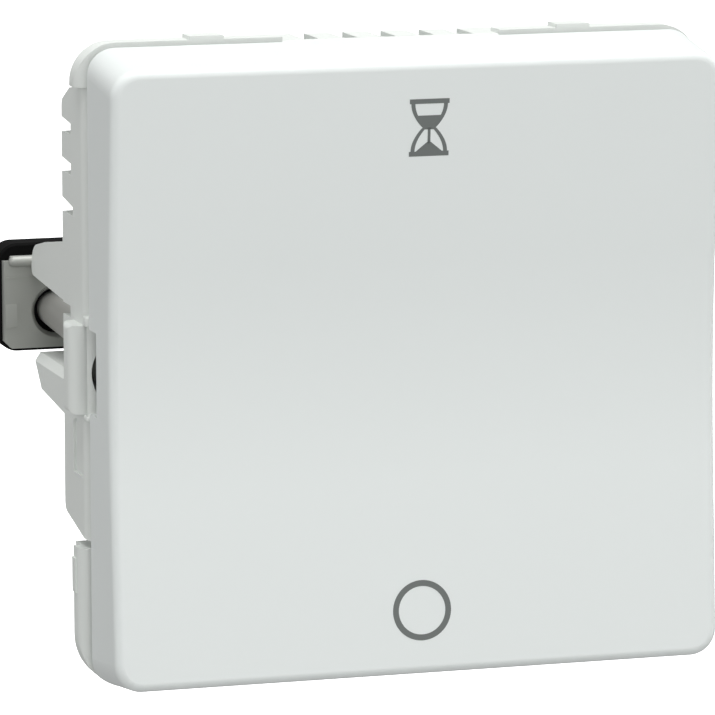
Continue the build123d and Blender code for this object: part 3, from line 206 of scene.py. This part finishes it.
# Circuit board: green laminate with the relay, capacitors, varistor, fuse and rectifier on its back.
# The chip, the two switches and the dial that sets the time stand on its front.
# It lies upright in the housing, behind the lid, and isn't in the photograph.
dress("board_green", colour=(0.02, 0.12, 0.05), roughness=0.35, grain=0.2, tone=0.25)
dress("relay_blue", colour=(0.03, 0.07, 0.3), roughness=0.3, grain=0.15, tone=0.1)
dress("capacitor_yellow", colour=(0.62, 0.36, 0.03), roughness=0.35, grain=0.15, tone=0.1)
dress("can_black", colour=(0.012, 0.012, 0.02), roughness=0.25, grain=0.1, tone=0.2)
dress("varistor_blue", colour=(0.02, 0.06, 0.35), roughness=0.3, grain=0.3, tone=0.1)
dress("part_black", colour=(0.012, 0.012, 0.012), roughness=0.5, grain=0.3, tone=0.2)
dress("switch_black", colour=(0.015, 0.015, 0.015), roughness=0.45, grain=0.2, tone=0.2)
dress("dial_white", colour=(0.68, 0.66, 0.6), roughness=0.5, grain=0.2)

# Lid, plungers and springs: the housing's white front wall, a moulded pin over each switch, and
# each pin's coil of round steel wire in a well of the lid. None of them is in the photograph.
# Each coil is fixed to the base and keeps its shape whichever way its pin leaves rest, though a real one
# lengthens as the pin comes out.
dress("lid_white", colour=(0.7, 0.71, 0.7), roughness=0.55, grain=0.25)
dress("plunger_white", colour=(0.66, 0.66, 0.64), roughness=0.5, grain=0.2)
spring_finish = dress(
    "spring_steel", colour=(0.55, 0.55, 0.56), roughness=0.3, grain=0.1, tone=0.1, metal=1.0
)
spring_turns = 3
spring_radius = 0.00215
spring_wire_radius = 0.0002
spring_front_y = -0.0085
spring_floor_y = -0.0063
spring_sides = 10
spring_steps = 96
spring_run = spring_floor_y - spring_front_y - 2 * spring_wire_radius


def joined(shape, rows):
    """Faces between each closed row of points and the next."""
    for near, far in zip(rows, rows[1:]):
        for step in range(len(near)):
            onward = (step + 1) % len(near)
            shape.faces.new((near[step], near[onward], far[onward], far[step]))


def capped(shape, rows):
    """A closed body through rows of points, with a face at each end."""
    joined(shape, rows)
    shape.faces.new(rows[0])
    shape.faces.new(rows[-1])


def made_piece(name, shape, finish):
    """An object made from a shape and given its finish."""
    mesh = bpy.data.meshes.new(name)
    shape.to_mesh(mesh)
    shape.free()
    mesh.materials.append(finish)
    piece = bpy.data.objects.new(name, mesh)
    bpy.context.collection.objects.link(piece)
    return piece


for name, joint in (("start_spring", "start_push_in"), ("stop_spring", "stop_push_in")):
    points = [nodes[name].matrix_world @ Vector(corner) for corner in nodes[name].bound_box]
    middle = sum((point.z for point in points)) / len(points)
    coil = bmesh.new()
    rows = []
    for index in range(spring_steps + 1):
        share = index / spring_steps
        turn = 2 * pi * spring_turns * share
        outward = Vector((cos(turn), 0, sin(turn)))
        depth = spring_front_y + spring_wire_radius + spring_run * share
        centre = outward * spring_radius + Vector((0, depth, middle))
        row = []
        for step in range(spring_sides):
            around = 2 * pi * step / spring_sides
            across = outward * cos(around) + Vector((0, sin(around), 0))
            row.append(coil.verts.new(centre + across * spring_wire_radius))
        rows.append(row)
    capped(coil, rows)
    bmesh.ops.recalc_face_normals(coil, faces=coil.faces)
    piece = made_piece(name + "_coil", coil, spring_finish)
    piece.data.shade_smooth()
    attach(piece, "base")
    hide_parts(name)
    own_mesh(piece)

# Tilt cradle: the white moulding behind the plate, which rocks on two trunnions in the lid's ears
# and presses the plungers. It isn't in the photograph.
dress("cradle_white", colour=(0.72, 0.73, 0.72), roughness=0.55, grain=0.25)

# Support frame: one off-white moulding, seated on the wall, which carries the claws.
# Four small noses with sloped fronts stand above and below its claw bosses.
# The left two are photographed and the right two mirrored; that they stop the plate is a guess.
frame_finish = dress("frame_white", colour=(0.8, 0.832, 0.802), roughness=0.55, grain=0.25)
stop_inner_x = 0.0237
stop_outer_x = 0.0253
stop_front_y = -0.0079
stop_back_y = -0.0067
stop_heights = ((0.00345, 0.00425), (-0.0041, -0.00365))
stop_slope = 0.0003
stop_bevel = 0.0001
stop_bevel_steps = 2
stop_bevel_roundness = 0.5
stop_slices = (
    (stop_back_y, stop_outer_x),
    (stop_front_y + stop_slope, stop_outer_x),
    (stop_front_y, stop_outer_x - stop_slope),
)
stops = bmesh.new()
for side in (-1, 1):
    for low, high in stop_heights:
        rows = []
        for depth, outer_x in stop_slices:
            corners = ((stop_inner_x, low), (outer_x, low), (outer_x, high), (stop_inner_x, high))
            rows.append([stops.verts.new((side * x, depth, z)) for x, z in corners])
        capped(stops, rows)
bmesh.ops.recalc_face_normals(stops, faces=stops.faces)
bmesh.ops.bevel(
    stops,
    geom=list(stops.edges),
    offset=stop_bevel,
    segments=stop_bevel_steps,
    affect="EDGES",
    profile=stop_bevel_roundness,
)
plate_stops = made_piece("plate_stops", stops, frame_finish)
plate_stops.data.shade_smooth()
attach(plate_stops, "base")

# Claws: a bent steel plate on a black moulded carrier, drawn along by its slanted steel screw.
# Each plate has a countersunk collar in its hole, a rolled upper edge, a pressed ledge and a barb.
# They are formed from the plate's own steel, so they ride with it. The right claw is a mirror image.
dress("carrier_black", colour=(0.005, 0.005, 0.005), roughness=0.8, grain=0.3, tone=0.2, specular=0.08)
claw_finish = dress(
    "claw_steel", colour=(0.46, 0.47, 0.44), roughness=0.55, grain=0.4, tone=0.15, metal=0.6
)
claw_outer_x = 0.02735
claw_front_y = 0.0112
claw_thickness = 0.0008
claw_sharp_angle = radians(30)
hole_x = 0.022891
hole_z = 0.001857
collar_inner = 0.00188
collar_outer = 0.00219
collar_lip = 0.00003
collar_slope_depth = 0.00045
collar_steps = 64
collar_profile = (
    (collar_inner, claw_front_y + claw_thickness),
    (collar_inner, claw_front_y + collar_slope_depth),
    (collar_outer - collar_lip, claw_front_y),
    (collar_outer, claw_front_y),
    (collar_outer, claw_front_y + claw_thickness),
)
pressed_inset = 0.00009
pressed_root_share = 0.25
ledge_z = 0.00487
ledge_height = 0.00022
ledge_rise = 0.00006
ledge_ramp = 0.0001
ledge_length = 0.0062
barb_z = (0.0006, 0.0032)
barb_width = 0.00095
barb_rise = 0.0001
barb_ramp = 0.0009
pressed_forms = (
    (ledge_length, ledge_rise, ledge_ramp, ledge_z - ledge_height, ledge_z),
    (barb_width, barb_rise, barb_ramp, barb_z[0], barb_z[1]),
)
roll_radius = 0.00045
roll_centre = (0.0111, 0.0061)
roll_x = (0.0215, 0.027)
roll_sides = 28
roll_end_steps = 5
roll_tip_x = roll_x[1] - roll_radius
ends = [pi / 2 * step / roll_end_steps for step in range(roll_end_steps)]
roll_stations = [(roll_x[0] - roll_radius * cos(a), roll_radius * sin(a)) for a in ends[1:]]
roll_stations += [(roll_x[0], roll_radius), (roll_tip_x, roll_radius)]
roll_stations += [(roll_tip_x + roll_radius * cos(a), roll_radius * sin(a)) for a in ends[:0:-1]]
for side, name in ((-1, "left"), (1, "right")):
    dressing = bmesh.new()
    rows = []
    for index in range(collar_steps):
        turn = 2 * pi * index / collar_steps
        across, up = cos(turn), sin(turn)
        rows.append([
            dressing.verts.new((side * hole_x + radius * across, depth, hole_z + radius * up))
            for radius, depth in collar_profile
        ])
    joined(dressing, rows + rows[:1])
    for width, rise, ramp, low, high in pressed_forms:
        outer_x = side * (claw_outer_x - pressed_inset)
        inner_x = side * (claw_outer_x - pressed_inset - width)
        root_y = claw_front_y + claw_thickness * pressed_root_share
        foot = [(outer_x, low), (outer_x, high), (inner_x, high), (inner_x, low)]
        crest = [(outer_x, low), (outer_x, high - ramp), (inner_x, high - ramp), (inner_x, low + rise)]
        back = [dressing.verts.new((x, root_y, z)) for x, z in foot]
        front = [dressing.verts.new((x, claw_front_y - rise, z)) for x, z in crest]
        capped(dressing, [back, front])
    rows = []
    for x, radius in roll_stations:
        row = []
        for step in range(roll_sides):
            around = 2 * pi * step / roll_sides
            depth = roll_centre[0] + radius * cos(around)
            height = roll_centre[1] + radius * sin(around)
            row.append(dressing.verts.new((side * x, depth, height)))
        rows.append(row)
    capped(dressing, rows)
    bmesh.ops.recalc_face_normals(dressing, faces=dressing.faces)
    piece = made_piece("claw_dressing_" + name, dressing, claw_finish)
    piece.data.shade_smooth()
    piece.data.set_sharp_from_angle(angle=claw_sharp_angle)
    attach(piece, "claw_" + name)

# Front plate: the satin white moulding that is pressed, with the finest grain of all the mouldings.
# Its hooks hold it on the cradle, and it pulls off for reaching the dial and the claw screws.
dress("plate_white", colour=(0.81, 0.85, 0.835), roughness=0.42, grain=0.1, tone=0.01)
plate = nodes["front_plate"]

# Ring: the lower sign, printed on the front plate in grey ink.
# Its outline is laid on the plate's concave face by a ray and stands a film's thickness proud.
ink = moulded("sign_ink", colour=(0.15, 0.166, 0.159), roughness=0.5, grain=0.1, tone=0.05)
ink_film = 0.000012
ray_lead = 0.01
ray_start = cad_box[0][1] - ray_lead
weld_distance = 1e-7
ring_centre = (0.00007, -0.0193)
ring_radius = 0.00241
ring_stroke = 0.00048
ring_steps = 96


def laid(points):
    """The outline's points on the plate's face, raised by the ink's thickness."""
    found = []
    for x, z in points:
        _, place, normal, _ = plate.ray_cast(Vector((x, ray_start, z)), Vector((0, 1, 0)))
        found.append(place + normal * ink_film)
    return found


def strip(shape, left, right):
    """A band of faces between two rows of points."""
    rows = [[shape.verts.new(place) for place in laid(row)] for row in (left, right)]
    for index in range(len(left) - 1):
        shape.faces.new((rows[0][index], rows[0][index + 1], rows[1][index + 1], rows[1][index]))


def print_sign(name, shape):
    """Weld a sign's bands, turn them towards the room and let the sign ride with the plate."""
    bmesh.ops.remove_doubles(shape, verts=shape.verts, dist=weld_distance)
    bmesh.ops.recalc_face_normals(shape, faces=shape.faces)
    for face in shape.faces:
        if face.normal.y > 0:
            face.normal_flip()
    sign = made_piece(name, shape, ink)
    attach(sign, "rocker")


def ring_edge(radius):
    """The points of one of the ring's two edges."""
    angles = [2 * pi * index / ring_steps for index in range(ring_steps + 1)]
    return [(ring_centre[0] + radius * cos(a), ring_centre[1] + radius * sin(a)) for a in angles]


ring_shape = bmesh.new()
strip(ring_shape, ring_edge(ring_radius), ring_edge(ring_radius - ring_stroke))
print_sign("ring_sign", ring_shape)

# Hourglass: the upper sign, printed in the same ink. It has a bar at each end and two curved walls,
# the sand left above, the cone fallen below, and the stream that joins them.
glass_centre = (0.00063, 0.0192)
bar_half_width = 0.00163
glass_half_width = 0.0015
glass_half_height = 0.00227
bar_height = 0.00038
wall_stroke = 0.00033
neck_half_width = 0.0002
bulb_roundness = 0.85
sand_level = 0.00096
sand_foot_share = 0.08
cone_height = 0.000865
cone_half_width = 0.00108
stream_half_width = 0.000115
stream_sunk_share = 0.25
curve_steps = 24
middle_x, middle_z = glass_centre
reach = glass_half_height - bar_height
shares = [index / curve_steps for index in range(curve_steps + 1)]


def bulb(share):
    """Half the width of the glass's inside at a share of the way from its neck to its bar."""
    wide = glass_half_width - wall_stroke - neck_half_width
    return neck_half_width + wide * sin(share * pi / 2) ** bulb_roundness


def filled(shape, rows):
    """A filled figure about the glass's middle, from rows of half width and height."""
    left = [(middle_x - half, z) for half, z in rows]
    right = [(middle_x + half, z) for half, z in rows]
    strip(shape, left, right)


glass_shape = bmesh.new()
for level in (-1, 1):
    far = middle_z + level * glass_half_height
    near = far - level * bar_height
    bar_x = [middle_x + bar_half_width * (2 * share - 1) for share in shares]
    strip(glass_shape, [(x, far) for x in bar_x], [(x, near) for x in bar_x])
    for side in (-1, 1):
        wall_in = [(middle_x + side * bulb(share), middle_z + level * reach * share) for share in shares]
        wall_out = [(x + side * wall_stroke, z) for x, z in wall_in]
        strip(glass_shape, wall_out, wall_in)

sand_run = sand_level / reach + sand_foot_share
sand_shares = [sand_run * share - sand_foot_share for share in shares]
filled(glass_shape, [(bulb(abs(share)), middle_z + reach * share) for share in sand_shares])

cone_foot = middle_z - reach
cone_rows = []
for index in range(curve_steps + 1):
    share = index / (curve_steps + 1)
    cone_rows.append((cone_half_width * (1 - share), cone_foot + cone_height * share))
filled(glass_shape, cone_rows)

stream_foot = cone_foot + cone_height - cone_height * stream_sunk_share
stream_fall = middle_z - stream_foot
filled(glass_shape, [(stream_half_width, middle_z - stream_fall * share) for share in shares])
print_sign("hourglass_sign", glass_shape)
